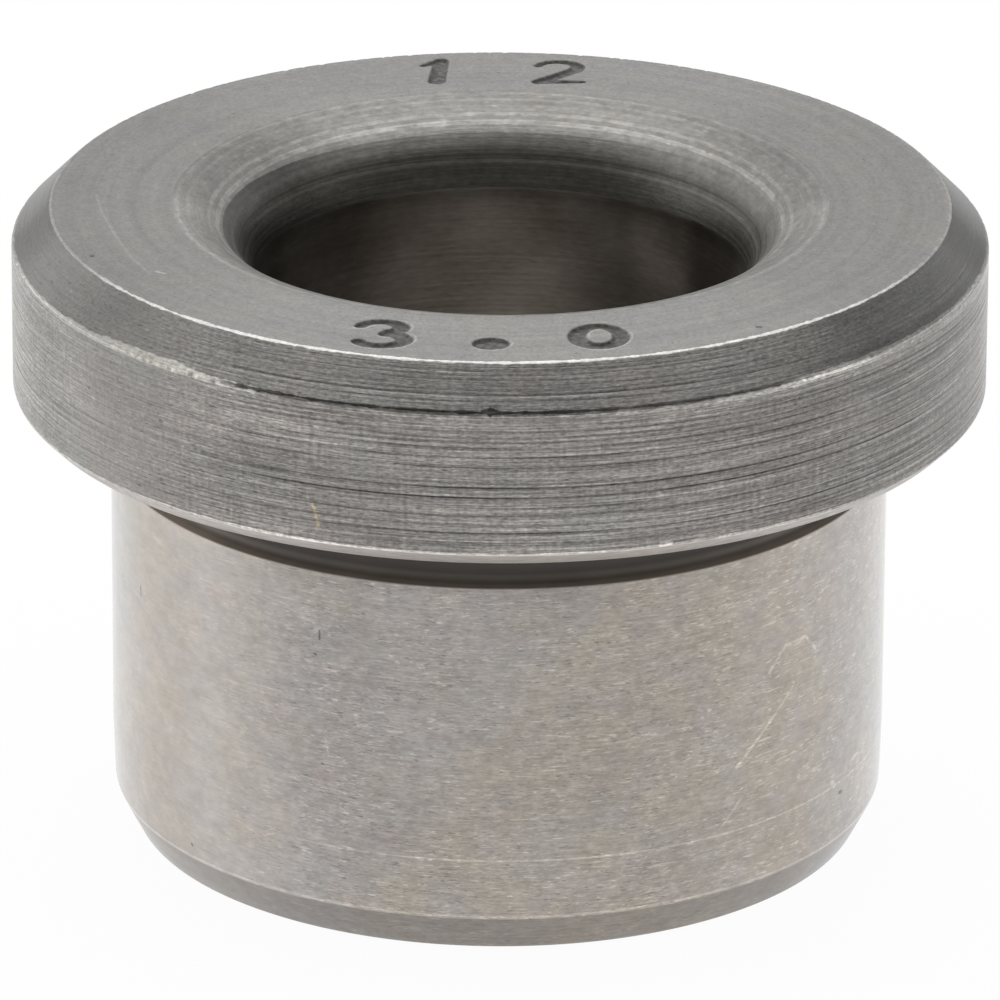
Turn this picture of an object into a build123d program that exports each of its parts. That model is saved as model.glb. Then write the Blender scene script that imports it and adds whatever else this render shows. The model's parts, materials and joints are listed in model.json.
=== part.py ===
from build123d import *
import os

# Headed press-fit drill bushing, turned and ground in one piece from hardened steel.
# Millimetres, +Z up along the bore. The origin is the centre of the foot, so the bushing
# stands on its foot with the head on top, the way it is seen in use from above a jig plate.

# Overall sizes
overall_height = 10.0
head_diameter = 15.0
head_height = 3.05
body_diameter = 12.0
bore_diameter = 7.6

# Edge breaks of the head
head_top_chamfer = 0.6
head_bottom_chamfer = 0.22

# Lead-in that guides the drill from the top face into the bore
lead_in_width = 1.2
lead_in_depth = 1.2
lead_in_entry_angle = 10.5

# Relief groove under the head, cut so that a grinding wheel can run out there. Its root sweeps up
# into the head in a larger radius, and the flat seat starts just outside the body.
groove_width = 0.92
groove_depth = 0.25
groove_ledge_radius = 0.1
seat_clearance = 0.05

# Pilot at the foot: a slight taper that starts the bushing in its hole, then a steeper chamfer
pilot_height = 1.58
pilot_drop = 0.03
foot_chamfer_height = 0.64
foot_chamfer_width = 0.33

# Small edge break where the bore leaves the foot
bore_exit_break = 0.2

# Radii and heights that follow from the sizes above
head_radius = head_diameter / 2
body_radius = body_diameter / 2
bore_radius = bore_diameter / 2
mouth_radius = bore_radius + lead_in_width
neck_radius = body_radius - groove_depth
pilot_radius = body_radius - pilot_drop
foot_radius = pilot_radius - foot_chamfer_width
seat_height = overall_height - head_height
seat_root_radius = groove_depth + seat_clearance
ledge_height = seat_height - groove_width
bore_top_height = overall_height - lead_in_depth


def outside_points():
    """Corners of the outside, from the foot's inner edge up to the mouth of the lead-in."""
    return [
        (bore_radius + bore_exit_break, 0),
        (foot_radius, 0),
        (pilot_radius, foot_chamfer_height),
        (body_radius, pilot_height),
        (body_radius, ledge_height),
        (neck_radius, ledge_height),
        (neck_radius, seat_height),
        (head_radius - head_bottom_chamfer, seat_height),
        (head_radius, seat_height + head_bottom_chamfer),
        (head_radius, overall_height - head_top_chamfer),
        (head_radius - head_top_chamfer, overall_height),
        (mouth_radius, overall_height),
    ]


def inside_points():
    """Corners of the bore, from the end of the lead-in down to the foot's inner edge."""
    return [
        (bore_radius, bore_top_height),
        (bore_radius, bore_exit_break),
        (bore_radius + bore_exit_break, 0),
    ]


def round_groove_root(section, height, radius):
    """Rounds the corner of the relief groove that lies on the neck at this height."""
    on_neck = section.vertices().filter_by(lambda corner: abs(corner.X - neck_radius) < 1e-6)
    root = on_neck.filter_by(lambda corner: abs(corner.Y - height) < 1e-6)
    fillet(root, radius=radius)


def half_section():
    """The material to one side of the bore axis, as a face in the XZ plane."""
    entry_direction = Vector(-1, 0).rotate(Axis.Z, lead_in_entry_angle)
    with BuildSketch(Plane.XZ) as section:
        with BuildLine():
            outside = Polyline(*outside_points())
            TangentArc(outside @ 1, inside_points()[0], tangent=entry_direction)
            Polyline(*inside_points())
        make_face()
        round_groove_root(section, seat_height, seat_root_radius)
        round_groove_root(section, ledge_height, min(groove_ledge_radius, 0.9 * groove_depth))
    return section.sketch


def drill_bushing():
    """The whole bushing, its half section turned once round the bore axis."""
    with BuildPart() as bushing:
        add(half_section())
        revolve(axis=Axis.Z)
    return bushing.part


bushing = drill_bushing()
bushing.label = "drill_bushing"

os.makedirs("parts", exist_ok=True)
export_step(bushing, "parts/drill_bushing.step")

bore_length = bore_top_height - bore_exit_break
ground_length = ledge_height - pilot_height
print(f"drill_bushing: {bushing.volume:.2f} mm3, box {bushing.bounding_box().size}")
print(f"straight bore {bore_length:.2f} mm long, ground body {ground_length:.2f} mm long")
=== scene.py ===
# %% [markdown]
# # A headed drill bushing
# The real object is one piece of hardened steel, turned on a lathe and then ground. Its finish changes
# from place to place: tool marks on the head, a dull faced top, a ground body and a dark bore.
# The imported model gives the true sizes, so it is loaded first and stays fixed.

# %% Load the frame
import json
import math
import random

import bpy
import numpy as np
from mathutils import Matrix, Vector


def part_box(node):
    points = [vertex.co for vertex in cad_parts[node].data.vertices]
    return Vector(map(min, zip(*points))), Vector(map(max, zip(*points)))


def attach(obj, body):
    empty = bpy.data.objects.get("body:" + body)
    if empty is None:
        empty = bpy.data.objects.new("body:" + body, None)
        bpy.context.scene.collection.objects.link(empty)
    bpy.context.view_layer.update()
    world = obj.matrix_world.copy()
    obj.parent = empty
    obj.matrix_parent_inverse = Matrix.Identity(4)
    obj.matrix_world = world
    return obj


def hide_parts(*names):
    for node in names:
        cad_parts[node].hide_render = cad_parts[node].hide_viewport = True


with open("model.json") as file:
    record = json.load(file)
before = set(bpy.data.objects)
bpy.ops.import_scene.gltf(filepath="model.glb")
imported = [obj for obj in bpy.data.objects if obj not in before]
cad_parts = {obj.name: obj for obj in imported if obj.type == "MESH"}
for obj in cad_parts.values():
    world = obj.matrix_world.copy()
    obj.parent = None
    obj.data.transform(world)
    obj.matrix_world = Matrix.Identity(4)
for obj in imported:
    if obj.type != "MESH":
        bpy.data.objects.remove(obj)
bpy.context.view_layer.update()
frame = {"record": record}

# %% [markdown]
# ## Sizes
# Everything below is in millimetres until the mesh is made. The main sizes come from the frame, and the
# small ones, such as chamfers, repeat the plain solid's. Heights are measured from the foot.

# %% Read the main sizes from the frame
MM = 0.001
_, high_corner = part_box("drill_bushing")
mounts = {mount["name"]: mount for mount in frame["record"]["mounts"]}
TOP = high_corner.z / MM
HEAD = high_corner.x / MM
BORE = mounts["bore"]["dims"]["r_mm"]
BODY = mounts["body"]["dims"]["r_mm"]
SEAT = mounts["head_seat"]["pos_m"][2] / MM
TOP_CHAMFER = 0.6
LOWER_CHAMFER = 0.22
LEAD_WIDTH, LEAD_DEPTH, LEAD_ENTRY = 1.2, 1.2, math.radians(10.5)
GROOVE_WIDTH, GROOVE_DEPTH, LEDGE_ROUND, SEAT_CLEARANCE = 0.92, 0.25, 0.1, 0.05
PILOT_HEIGHT, PILOT_DROP = 1.58, 0.03
FOOT_CHAMFER_HEIGHT, FOOT_CHAMFER_WIDTH = 0.64, 0.33
EXIT_BREAK = 0.2
print(f"radii: head {HEAD:.3f}, body {BODY}, bore {BORE}; height {TOP:.3f}, seat at {SEAT:.3f}")

# %% [markdown]
# ## Camera
# The camera is the first thing made, because every later choice is judged through it. A long lens stands
# 165 mm away and looks down by about 20 degrees, as a catalogue picture of so small a part is taken.

# %% Place the camera
CAMERA_DISTANCE = 164.92
CAMERA_ELEVATION = 0.3511
CAMERA_TILT = 0.0278
CAMERA_ROLL = -0.0055
FRAME_SHIFT = 0.0012
FOCAL_PIXELS = 10751.6
SENSOR_MM, PICTURE_PIXELS = 36.0, 1000

camera = bpy.data.objects.new("camera", bpy.data.cameras.new("camera"))
bpy.context.scene.collection.objects.link(camera)
camera.data.sensor_width = SENSOR_MM
camera.data.lens = FOCAL_PIXELS * SENSOR_MM / PICTURE_PIXELS
camera.data.clip_start = 0.01
camera.data.shift_x = FRAME_SHIFT
camera.location = (
    0,
    -CAMERA_DISTANCE * math.cos(CAMERA_ELEVATION) * MM,
    (TOP + CAMERA_DISTANCE * math.sin(CAMERA_ELEVATION)) * MM,
)
look_down = math.pi / 2 - CAMERA_ELEVATION - CAMERA_TILT
camera.rotation_euler = (look_down, 0, 0)
camera.rotation_euler.rotate_axis("Z", -CAMERA_ROLL)
bpy.context.scene.camera = camera
print(f"lens {camera.data.lens:.1f} mm")

# %% [markdown]
# ## The half section
# A turned part is drawn as half of its section and spun round the axis. The outline starts at the foot,
# goes up the outside and comes down the bore. Each corner gets a small round, because no cut edge is
# perfectly sharp and the round is what catches the light.

# %% Draw the outline with its finishes
def eased(before, corner, after, ease, steps):
    """Points of a small round in place of a sharp corner."""
    before, corner, after = (np.array(point, float) for point in (before, corner, after))
    start = corner + ease * (before - corner) / np.linalg.norm(before - corner)
    end = corner + ease * (after - corner) / np.linalg.norm(after - corner)
    return [
        (1 - t) ** 2 * start + 2 * t * (1 - t) * corner + t ** 2 * end
        for t in np.linspace(0, 1, steps + 1)
    ]


def lead_in_points(steps):
    """The rounded mouth, an arc that starts at its entry slope and ends at the bore."""
    chord = math.hypot(LEAD_WIDTH, LEAD_DEPTH)
    half_turn = math.atan2(LEAD_DEPTH, LEAD_WIDTH) - LEAD_ENTRY
    radius = chord / 2 / math.sin(half_turn)
    centre_r = BORE + LEAD_WIDTH + radius * math.sin(LEAD_ENTRY)
    centre_z = TOP - radius * math.cos(LEAD_ENTRY)
    slopes = np.linspace(LEAD_ENTRY, LEAD_ENTRY + 2 * half_turn, steps + 1)[1:-1]
    return [(centre_r - radius * math.sin(slope), centre_z + radius * math.cos(slope)) for slope in slopes]


def groove_round(centre, radius, start, end, steps):
    """An inside round of the relief groove, from one angle to another."""
    return [
        (centre[0] + radius * math.cos(a), centre[1] + radius * math.sin(a))
        for a in np.linspace(math.radians(start), math.radians(end), steps + 1)
    ]


neck = BODY - GROOVE_DEPTH
ledge = SEAT - GROOVE_WIDTH
pilot = BODY - PILOT_DROP
seat_round = GROOVE_DEPTH + SEAT_CLEARANCE
# Each corner: place, round, and the finish of the stretch that follows it
corners = [
    ((BORE + EXIT_BREAK, 0), 0.03, "foot"),
    ((pilot - FOOT_CHAMFER_WIDTH, 0), 0.05, "foot_chamfer"),
    ((pilot, FOOT_CHAMFER_HEIGHT), 0.05, "pilot"),
    ((BODY, PILOT_HEIGHT), 0.05, "body"),
    ((BODY, ledge), 0.02, "groove"),
]
ledge_points = groove_round((neck + LEDGE_ROUND, ledge + LEDGE_ROUND), LEDGE_ROUND, 270, 180, 3)
root_points = groove_round((neck + seat_round, SEAT - seat_round), seat_round, 180, 90, 5)
corners += [(point, 0, "groove") for point in ledge_points + root_points]
corners[-1] = (corners[-1][0], 0, "seat")
corners += [
    ((HEAD - LOWER_CHAMFER, SEAT), 0.02, "lower_chamfer"),
    ((HEAD, SEAT + LOWER_CHAMFER), 0.02, "side"),
    ((HEAD, TOP - TOP_CHAMFER), 0.03, "chamfer"),
    ((HEAD - TOP_CHAMFER, TOP), 0.03, "top"),
    ((BORE + LEAD_WIDTH, TOP), 0.04, "lead_in"),
]
corners += [(point, 0, "lead_in") for point in lead_in_points(20)]
corners += [
    ((BORE, TOP - LEAD_DEPTH), 0.04, "bore"),
    ((BORE, EXIT_BREAK), 0.03, "exit"),
]
print(len(corners), "corners in the outline")

# %% [markdown]
# ## Tool marks
# The turned side and chamfer of the head carry marks left by the lathe tool. The deeper ones are real
# grooves in the mesh. Mesh rings are spent only where a groove needs them: one at its bottom and one at
# each lip.

# %% Choose where the deeper tool marks lie
# Distance from the shoulder edge and depth in mm: down the side, and up the chamfer
SIDE_MARKS = [
    (0.13, 0.004), (0.28, 0.006), (0.36, 0.0035), (0.44, 0.0055), (0.53, 0.006), (0.68, 0.0075),
    (0.84, 0.0075), (1.05, 0.003), (1.165, 0.0095), (1.325, 0.010), (1.48, 0.003), (1.60, 0.006),
    (1.76, 0.0045), (1.885, 0.010), (1.97, 0.0035), (2.035, 0.005),
]
CHAMFER_MARKS = [
    (0.20, 0.003), (0.30, 0.006), (0.375, 0.002), (0.455, 0.0015), (0.54, 0.001), (0.62, 0.002),
    (0.685, 0.0022), (0.755, 0.0026),
]
side_length = TOP - TOP_CHAMFER - SEAT - LOWER_CHAMFER
dice = random.Random(3)
MARKS = {
    "side": [(side_length - place, dice.uniform(0.018, 0.026), depth) for place, depth in SIDE_MARKS],
    "chamfer": [(place, dice.uniform(0.016, 0.022), depth) for place, depth in CHAMFER_MARKS],
}
ROWS = {
    "foot": 4, "foot_chamfer": 3, "pilot": 3, "body": 10, "groove": 1, "seat": 4, "lower_chamfer": 2,
    "side": 8, "chamfer": 4, "top": 15, "lead_in": 1, "bore": 8, "exit": 2,
}
print({name: len(marks) for name, marks in MARKS.items()}, "marks")


# %% Turn the outline into rings
EDGE_ROWS = (0.02, 0.045, 0.08)
LIP_SHIFTS, CLEAR_OF_MARK, CLEAR_OF_END = (-1, -0.45, 0, 0.45, 1), 1.6, 0.002
RAGGED_STARTS, RAGGED_ENDS = ("chamfer", "top"), ("side", "chamfer")


def stretch_fractions(finish, length, start_gap):
    """Where rings lie along one straight stretch, as fractions of it, its two ends left out."""
    places = [(i + 1) / ROWS[finish] * length for i in range(ROWS[finish] - 1)]
    for centre, half_width, _ in MARKS.get(finish, ()):
        places = [p for p in places if abs(p - centre + start_gap) > half_width * CLEAR_OF_MARK]
    for centre, half_width, _ in MARKS.get(finish, ()):
        places += [centre - start_gap + shift * half_width for shift in LIP_SHIFTS]
    if finish in RAGGED_STARTS:
        places += EDGE_ROWS
    if finish in RAGGED_ENDS:
        places += [length - gap for gap in EDGE_ROWS]
    return [p / length for p in sorted(places) if CLEAR_OF_END < p < length - CLEAR_OF_END]


outline, finishes, stretch_starts = [], [], {}
EASE_STEPS = 3
for index, (corner, ease, finish) in enumerate(corners):
    before, after = corners[index - 1][0], corners[(index + 1) % len(corners)][0]
    here = eased(before, corner, after, ease, EASE_STEPS) if ease else [np.array(corner, float)]
    outline += here
    finishes += [finish] * len(here)
    next_corner, next_ease, _ = corners[(index + 1) % len(corners)]
    reach = np.array(next_corner, float) - np.array(corner, float)
    whole = np.linalg.norm(reach)
    start = here[-1]
    stop = np.array(next_corner, float) - reach / whole * next_ease
    run = np.linalg.norm(stop - start)
    stretch_starts[finish] = (len(outline) - 1, ease)
    for fraction in stretch_fractions(finish, run, ease):
        outline.append(start + (stop - start) * fraction)
        finishes.append(finish)
outline = np.array(outline)
steps_along = np.linalg.norm(np.roll(outline, -1, axis=0) - outline, axis=1)
along_at = np.concatenate([[0], np.cumsum(steps_along)])
print(f"{len(outline)} rings, {along_at[-1]:.2f} mm round the section")

# %% [markdown]
# ## Spin the section
# A poly curve holds the outline, is converted to a mesh, and is spun once round the axis with the spin
# operator. The last copy lands on the first, so doubles are merged and the normals are made to agree.

# %% Make the blank
COLUMNS = 256
SAME_PLACE = 0.0005


def work_on(thing):
    """Makes one object the only selected one and the active one."""
    bpy.ops.object.select_all(action="DESELECT")
    thing.select_set(True)
    bpy.context.view_layer.objects.active = thing


curve = bpy.data.curves.new("half_section", "CURVE")
curve.dimensions = "3D"
spline = curve.splines.new("POLY")
spline.points.add(len(outline) - 1)
for point, (r, z) in zip(spline.points, outline):
    point.co = (0, -r * MM, z * MM, 1)
spline.use_cyclic_u = True
bushing = bpy.data.objects.new("bushing", curve)
bpy.context.scene.collection.objects.link(bushing)
work_on(bushing)
bpy.ops.object.convert(target="MESH")
bushing = bpy.context.object
bpy.ops.object.mode_set(mode="EDIT")
bpy.ops.mesh.select_all(action="SELECT")
bpy.ops.mesh.spin(
    steps=COLUMNS, angle=2 * math.pi, center=(0, 0, 0), axis=(0, 0, 1), use_auto_merge=True,
)
bpy.ops.mesh.select_all(action="SELECT")
bpy.ops.mesh.remove_doubles(threshold=SAME_PLACE * MM)
bpy.ops.mesh.normals_make_consistent(inside=False)
bpy.ops.mesh.select_all(action="DESELECT")
bpy.ops.object.mode_set(mode="OBJECT")
print(len(bushing.data.vertices), "points and", len(bushing.data.polygons), "faces in the blank")

# %% [markdown]
# ## Places on the lathe
# Every later step asks where a point lies as a turner would say it: its angle round the axis and its
# distance along the outline. A point between two columns lies on a short chord, so its radius is first
# corrected to the true circle.

# %% Measure angle and distance along the outline
COLUMN_ANGLE = 2 * math.pi / COLUMNS
segment_reach = np.roll(outline, -1, axis=0) - outline
segment_length = np.hypot(segment_reach[:, 0], segment_reach[:, 1])
segment_way = segment_reach / segment_length[:, None]


def read_all(items, name, width=1, kind=float):
    """One property of all points, edges or faces as an array, with a row of this width for each."""
    flat = np.empty(len(items) * width, kind)
    items.foreach_get(name, flat)
    return flat.reshape(-1, width) if width > 1 else flat


def lathe_places(points):
    """Angle from the front, true radius, height, distance along the outline and segment of each point."""
    angle = np.arctan2(points[:, 0], -points[:, 1])
    from_middle = (angle / COLUMN_ANGLE) % 1 - 0.5
    radius = np.hypot(points[:, 0], points[:, 1])
    radius *= np.cos(from_middle * COLUMN_ANGLE) / math.cos(COLUMN_ANGLE / 2)
    flat = np.stack([radius, points[:, 2]], axis=1)
    nearest, along = np.full(len(points), np.inf), np.zeros(len(points))
    which = np.zeros(len(points), int)
    for index, segment_start in enumerate(outline):
        offset = flat - segment_start
        run = np.clip(offset @ segment_way[index], 0, segment_length[index])
        gap = np.hypot(*(offset - run[:, None] * segment_way[index]).T)
        closer = gap < nearest - 1e-7
        nearest[closer], along[closer], which[closer] = gap[closer], along_at[index] + run[closer], index
    return angle, flat, along, which


def corner_along(radius, height):
    """Distance along the outline of the point nearest to a place in the half section."""
    return float(lathe_places(np.array([[0, -radius, height]]))[2][0])


SHOULDER_EDGE = corner_along(HEAD, TOP - TOP_CHAMFER)
TOP_EDGE = corner_along(HEAD - TOP_CHAMFER, TOP)
print(f"shoulder edge at {SHOULDER_EDGE:.3f} mm and top edge at {TOP_EDGE:.3f} mm along the outline")

# %% [markdown]
# ## Stamped figures
# Size figures are struck into the top face with steel stamps. Each figure is a few strokes. A stamp
# pushes metal aside, so a stroke has a flat bottom, sloping walls and a thin raised lip.

# %% Draw the strokes of the figures
def bow(x, y, reach_x, reach_y, start, end, steps=12):
    """Points of an elliptical bow, angles in degrees."""
    angles = np.radians(np.linspace(start, end, steps + 1))
    return [(x + reach_x * math.cos(a), y + reach_y * math.sin(a)) for a in angles]


def figure_three(x, y):
    return [
        (bow(x - 0.05, y + 0.26, 0.31, 0.23, 165, -60), 0.11, 0.15),
        (bow(x - 0.04, y - 0.25, 0.35, 0.26, 75, -165), 0.15, 0.12),
    ]


def figure_nought(x, y):
    return [
        (bow(x, y, 0.33, 0.41, 60, 240), 0.13, 0.155),
        (bow(x, y, 0.33, 0.41, 240, 420), 0.155, 0.13),
    ]


def figure_one(x, y):
    return [
        ([(x + 0.05, y + 0.48), (x - 0.02, y - 0.5)], 0.13, 0.15),
        ([(x + 0.05, y + 0.48), (x - 0.24, y + 0.24)], 0.12, 0.07),
    ]


def figure_two(x, y):
    return [
        (bow(x, y + 0.24, 0.32, 0.24, 170, -35), 0.08, 0.13),
        ([(x + 0.27, y + 0.08), (x - 0.3, y - 0.47)], 0.13, 0.13),
        ([(x - 0.3, y - 0.47), (x + 0.38, y - 0.47)], 0.12, 0.07),
    ]


def point_mark(x, y):
    return [([(x - 0.03, y), (x + 0.03, y)], 0.26, 0.26)]


FRONT_FIGURES = figure_three(-1.72, -5.72) + point_mark(-0.13, -6.12) + figure_nought(1.47, -5.78)
BACK_FIGURES = figure_one(-1.0, 6.0) + figure_two(0.9, 5.98)
HIGH_LIP, LOW_LIP, NICK_DEPTH = 0.007, 0.003, 0.03
# Each set: its strokes, depth and lip height
STAMPS = [(FRONT_FIGURES, 0.045, HIGH_LIP), (BACK_FIGURES, 0.04, LOW_LIP)]
NICKS = [
    ([(3.85, -5.36), (3.88, -5.34)], 0.05, 0.04),
    ([(-6.17, -2.49), (-6.15, -2.48)], 0.04, 0.03),
]


def distance_to_strokes(points, strokes):
    """Distance of each point of the top plan to the edge of the nearest stroke, negative inside it."""
    nearest = np.full(len(points), np.inf)
    for line, wide_start, wide_end in strokes:
        pieces = len(line) - 1
        for index in range(pieces):
            start, end = np.array(line[index]), np.array(line[index + 1])
            reach = end - start
            share = np.clip((points - start) @ reach / (reach @ reach), 0, 1)
            gap = np.hypot(*(points - start - share[:, None] * reach).T)
            width = wide_start + (wide_end - wide_start) * (index + share) / pieces
            nearest = np.minimum(nearest, gap - width)
    return nearest


print(sum(len(strokes) for strokes, _, _ in STAMPS), "strokes in the stamped figures")

# %% [markdown]
# ## Finer mesh where it is needed
# The stamped strokes need a much finer mesh than the rest of the face, and the two ragged edges of the
# chamfer need more columns. Faces and edges are picked by place, and the subdivide operator splits them.

# %% Split the mesh at the figures and the ragged edges
FINE_MARGIN, FLAT_MARGIN = 0.13, 0.001
STAMP_CUTS, EDGE_CUTS = 5, 3
EDGE_BAND, SAME_RING = 0.09, 1e-4
mesh = bushing.data


def pick(kind, chosen):
    """Selects only the chosen faces or edges of the mesh, then opens edit mode."""
    for parts in (mesh.vertices, mesh.edges, mesh.polygons):
        parts.foreach_set("select", np.zeros(len(parts), bool))
    items = getattr(mesh, kind)
    items.foreach_set("select", chosen)
    for index in np.nonzero(chosen)[0]:
        for corner in items[index].vertices:
            mesh.vertices[corner].select = True
    bpy.context.tool_settings.mesh_select_mode = (False, kind == "edges", kind == "polygons")
    bpy.ops.object.mode_set(mode="EDIT")


def face_middles():
    return read_all(mesh.polygons, "center", 3) / MM


middles = face_middles()
on_top = middles[:, 2] > TOP - FLAT_MARGIN
near_stroke = distance_to_strokes(middles[:, :2], FRONT_FIGURES + BACK_FIGURES + NICKS) < FINE_MARGIN
pick("polygons", on_top & near_stroke)
bpy.ops.mesh.subdivide(number_cuts=STAMP_CUTS)
bpy.ops.object.mode_set(mode="OBJECT")

ends = read_all(mesh.edges, "vertices", 2, int)
_, _, along, _ = lathe_places(read_all(mesh.vertices, "co", 3) / MM)
round_the_axis = np.abs(along[ends[:, 0]] - along[ends[:, 1]]) < SAME_RING
edge_along = along[ends[:, 0]]
in_band = np.abs(edge_along - SHOULDER_EDGE) < EDGE_BAND
in_band |= np.abs(edge_along - TOP_EDGE) < EDGE_BAND
pick("edges", round_the_axis & in_band)
bpy.ops.mesh.subdivide(number_cuts=EDGE_CUTS)
bpy.ops.mesh.select_all(action="DESELECT")
bpy.ops.object.mode_set(mode="OBJECT")
print(len(mesh.vertices), "points and", len(mesh.polygons), "faces after splitting")

# %% [markdown]
# ## One slot for each finish
# The piece is one solid with several finishes, so each finish gets its own material slot. The faces are
# sorted now, while they still lie exactly on the outline.

# %% Give each face its finish
FINISH_OF = {
    "foot": "faced_foot", "foot_chamfer": "foot_chamfer", "pilot": "ground_body", "body": "ground_body",
    "groove": "relief_groove", "seat": "relief_groove", "lower_chamfer": "lower_edge",
    "side": "turned_side", "chamfer": "turned_chamfer", "top": "faced_top", "lead_in": "lead_in",
    "bore": "reamed_bore", "exit": "reamed_bore",
}
slot_names = list(dict.fromkeys(FINISH_OF.values()))
mesh.materials.clear()
for name in slot_names:
    mesh.materials.append(bpy.data.materials.new(name))
slot_of_segment = np.array([slot_names.index(FINISH_OF[finish]) for finish in finishes])
face_slots = slot_of_segment[lathe_places(face_middles())[3]]
mesh.polygons.foreach_set("material_index", face_slots)
print({name: int((face_slots == index).sum()) for index, name in enumerate(slot_names)})

# %% [markdown]
# ## Cut, press and wear the surface
# Every point now moves a little along its normal. Tool marks and stamped figures go in, the lips beside
# them come out, and the two edges of the chamfer lose small ragged bites. The noise is a sum of whole
# waves round the axis, so it closes on itself and shows no seam.

# %% Make wavy lines that close on themselves
def wavy_line(seed, fewest, most, samples=4096):
    """Random waves round one turn, with a spread of 1."""
    dice = np.random.default_rng(seed)
    waves = np.zeros(samples // 2 + 1, complex)
    waves[fewest:most] = dice.normal(size=most - fewest) + 1j * dice.normal(size=most - fewest)
    line = np.fft.irfft(waves)
    return line / line.std()


def at_angle(line, angle):
    turns = np.linspace(0, 2 * math.pi, len(line) + 1)
    return np.interp(angle % (2 * math.pi), turns, np.append(line, line[0]))


def smooth(value, low, high):
    """0 below low, 1 above high, and an even slope between."""
    t = np.clip((value - low) / (high - low), 0, 1)
    return t * t * (3 - 2 * t)


def bell(value, centre, spread):
    return np.exp(-(((value - centre) / spread) ** 2))


# %% Work out how far each point moves
# Angle, spread and share of each place where marks are worn away. A negative share makes them deeper.
WORN = {
    "side": [(math.radians(-50), 0.35, 0.65), (math.radians(55), 0.35, -0.35)],
    "chamfer": [(math.radians(-78), 0.6, 0.9), (math.radians(92), 0.42, 0.9)],
}
points = read_all(mesh.vertices, "co", 3) / MM
normals = read_all(mesh.vertex_normals, "vector", 3)
angle, _, along, _ = lathe_places(points)

cut = np.zeros(len(points))
for finish, marks in MARKS.items():
    first_index, ease = stretch_starts[finish]
    left = np.ones(len(points))
    for worn_angle, spread, share in WORN[finish]:
        left *= 1 - share * bell(angle, worn_angle, spread)
    for number, (centre, half_width, depth) in enumerate(marks):
        off = (along - along_at[first_index] - centre + ease) / half_width
        strength = left * np.clip(0.9 + 0.15 * at_angle(wavy_line(40 + number, 1, 20), angle), 0.3, 1.3)
        near = np.abs(off) < 1
        cut[near] += (depth * strength * np.cos(off * math.pi / 2) ** 2)[near]

top_bites = np.clip(at_angle(wavy_line(7, 60, 420), angle) - 0.4, 0, 2)
shoulder_bites = np.clip(at_angle(wavy_line(8, 50, 400), angle) - 0.1, 0, 2)
# Depth, place along the outline and spread of the bites in the two edges and of the notch
TOP_BITE, SHOULDER_BITE = (0.007, TOP_EDGE, 0.035), (0.008, SHOULDER_EDGE, 0.04)
NOTCH, NOTCH_ANGLE, NOTCH_WIDTH = (0.02, SHOULDER_EDGE + 0.06, 0.05), math.radians(-1), 0.013
bite = TOP_BITE[0] * top_bites * bell(along, *TOP_BITE[1:])
bite += SHOULDER_BITE[0] * shoulder_bites * bell(along, *SHOULDER_BITE[1:])
bite += NOTCH[0] * bell(angle, NOTCH_ANGLE, NOTCH_WIDTH) * bell(along, *NOTCH[1:])

on_top = points[:, 2] > TOP - FLAT_MARGIN / 2
stamp, lip, shadow, press = np.zeros((4, len(points)))
LEE, FAR_WALL = np.array([0.02, -0.035]), np.array([-0.03, 0.09])
LIP_PLACE, LIP_SPREAD = 0.032, 0.02
for strokes, depth, height in STAMPS:
    gap = distance_to_strokes(points[:, :2], strokes)
    gap[~on_top] = 1
    inside = smooth(-gap, -0.01, 0.045)
    leeward = distance_to_strokes(points[:, :2] + LEE, strokes)
    rim = bell(gap, LIP_PLACE, LIP_SPREAD) * (1 - inside) * smooth(leeward - gap, -0.025, 0.03)
    press += depth * inside - height * rim
    # The lip mask is kept for the painted highlight on each lip.
    stamp, lip = np.maximum(stamp, inside), np.maximum(lip, rim * height / HIGH_LIP)
    beyond = distance_to_strokes(points[:, :2] + FAR_WALL, strokes)
    shadow = np.maximum(shadow, inside * smooth(beyond, -0.1, 0.05))
gap = distance_to_strokes(points[:, :2], NICKS)
gap[~on_top] = 1
nick = smooth(-gap, -0.01, 0.02)
press += NICK_DEPTH * nick

moved = points - normals * (cut + bite)[:, None] - np.array([0, 0, 1]) * press[:, None]
mesh.vertices.foreach_set("co", (moved * MM).ravel())
mesh.update()
print(f"deepest tool mark {cut.max():.3f}, bite {bite.max():.3f}, stamp {press.max():.3f} mm")

# %% Keep what the finishes need as point attributes
DEEP_CUT = 0.010
to_keep = {
    "along": along, "cut": np.clip(cut / DEEP_CUT, 0, 1), "stamp": stamp, "lip": lip, "shadow": shadow,
    "nick": nick,
}
for name, values in to_keep.items():
    attribute = mesh.attributes.new(name, "FLOAT", "POINT")
    attribute.data.foreach_set("value", values.astype(np.float32))
print("attributes:", [a.name for a in mesh.attributes if not a.name.startswith(".")])

# %% Shade the faces smooth
SMOOTH_ANGLE = math.radians(40)
work_on(bushing)
bpy.ops.object.shade_smooth_by_angle(angle=SMOOTH_ANGLE)
print("smooth faces:", sum(polygon.use_smooth for polygon in mesh.polygons))
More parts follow.
